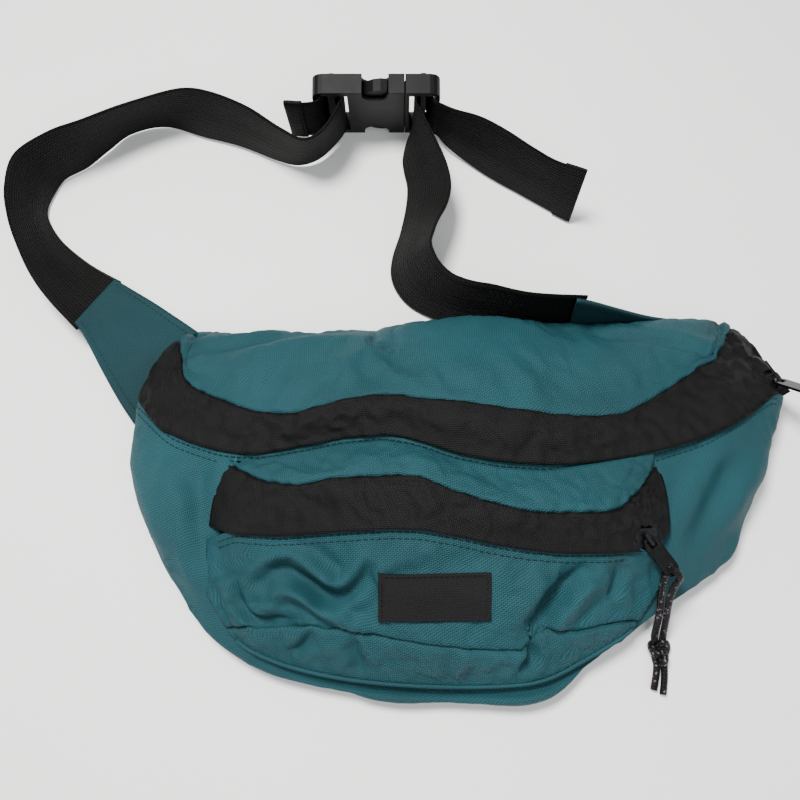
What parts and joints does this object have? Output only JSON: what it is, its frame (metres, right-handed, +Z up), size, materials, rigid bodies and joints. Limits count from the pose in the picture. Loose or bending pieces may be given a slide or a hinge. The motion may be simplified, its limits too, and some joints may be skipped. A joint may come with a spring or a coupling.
{
  "type": "waist pack",
  "caption": "Zipped waist pack with a front pocket, storm flaps over both zippers, hip wings and a webbing belt with a side-release buckle.",
  "frame": {"origin": "middle of the back panel where it rests on the table, under the main compartment", "axes": "+Z up from the table through the front of the pack, +Y towards the top edge and the belt, +X towards the end where both zippers are closed"},
  "size_m": [0.5028, 0.4096, 0.0742],
  "materials": {
    "teal_fabric": "coated nylon pack cloth, plain weave, slight sheen",
    "black_fabric": "coated nylon pack cloth, matt",
    "back_fabric": "black padded nylon",
    "woven_label": "woven patch, blank, with a raised border",
    "webbing": "ribbed polyester webbing, slight sheen",
    "zipper_tape": "woven tape with a nylon coil",
    "cord": "braided cord, black with light flecks",
    "buckle_plastic": "moulded acetal, fine texture",
    "slider_metal": "plated zinc slider, worn",
    "pull_enamel": "gloss black pull"
  },
  "bodies": {
    "pack": {"back_panel": "back_fabric", "main_top_panel": "teal_fabric", "main_flap": "black_fabric", "main_zip_upper": "zipper_tape", "main_zip_lower": "zipper_tape", "main_front_panel": "teal_fabric", "pocket_top_panel": "teal_fabric", "pocket_flap": "black_fabric", "pocket_zip_upper": "zipper_tape", "pocket_zip_lower": "zipper_tape", "pocket_front_panel": "teal_fabric", "pocket_gusset": "teal_fabric", "label_patch": "woven_label", "wing_left": "teal_fabric", "wing_right": "teal_fabric", "webbing_left": "webbing", "webbing_right": "webbing", "tail_left": "webbing", "buckle_socket": "buckle_plastic"},
    "plug": {"buckle_plug": "buckle_plastic", "tail_right": "webbing"},
    "arm_upper": {"buckle_arm_upper": "buckle_plastic"},
    "arm_lower": {"buckle_arm_lower": "buckle_plastic"},
    "main_slider": {"main_slider": "slider_metal"},
    "main_pull": {"main_pull_tab": "pull_enamel"},
    "pocket_slider": {"pocket_slider": "slider_metal"},
    "pocket_pull": {"pocket_pull_tab": "pull_enamel", "pull_cord": "cord", "cord_knot": "cord", "cord_end_a": "cord", "cord_end_b": "cord"}
  },
  "joints": [
    {"name": "buckle_release", "type": "slide", "parent": "pack", "child": "plug", "axis": [1, 0, 0], "range_m": [0, 0.045], "deforming": ["webbing_right", "buckle_arm_upper", "buckle_arm_lower"]},
    {"name": "arm_upper_squeeze", "type": "hinge", "parent": "plug", "child": "arm_upper", "pos_m": [-0.0328, 0.27408, 0.04955], "axis": [0, -0.9659, -0.2588], "range_deg": [0, 16], "stiffness_Nm_per_rad": 0.05},
    {"name": "arm_lower_squeeze", "type": "hinge", "parent": "plug", "child": "arm_lower", "pos_m": [-0.0328, 0.28392, 0.01285], "axis": [0, 0.9659, 0.2588], "range_deg": [0, 16], "stiffness_Nm_per_rad": 0.05},
    {"name": "main_zip_travel", "type": "hinge", "parent": "pack", "child": "main_slider", "pos_m": [-0.0138, 0.31351, -0.14107], "axis": [-0.0285, 0.5439, 0.8387], "range_deg": [-60.5, 0]},
    {"name": "main_pull_swing", "type": "hinge", "parent": "main_slider", "child": "main_pull", "pos_m": [0.19552, 0.07067, 0.02798], "axis": [-0.8773, -0.3728, 0.3023], "range_deg": [-10, 90]},
    {"name": "pocket_zip_travel", "type": "hinge", "parent": "pack", "child": "pocket_slider", "pos_m": [-0.013, 0.12634, -0.26154], "axis": [0, 0.891, 0.454], "range_deg": [-34.4, 0], "deforming": ["pull_cord", "cord_knot", "cord_end_a", "cord_end_b"]},
    {"name": "pocket_pull_swing", "type": "hinge", "parent": "pocket_slider", "child": "pocket_pull", "pos_m": [0.10024, -0.03188, 0.04898], "axis": [-0.7494, -0.6591, -0.0625], "range_deg": [-3, 75], "deforming": ["pull_cord", "cord_knot", "cord_end_a", "cord_end_b"]}
  ]
}
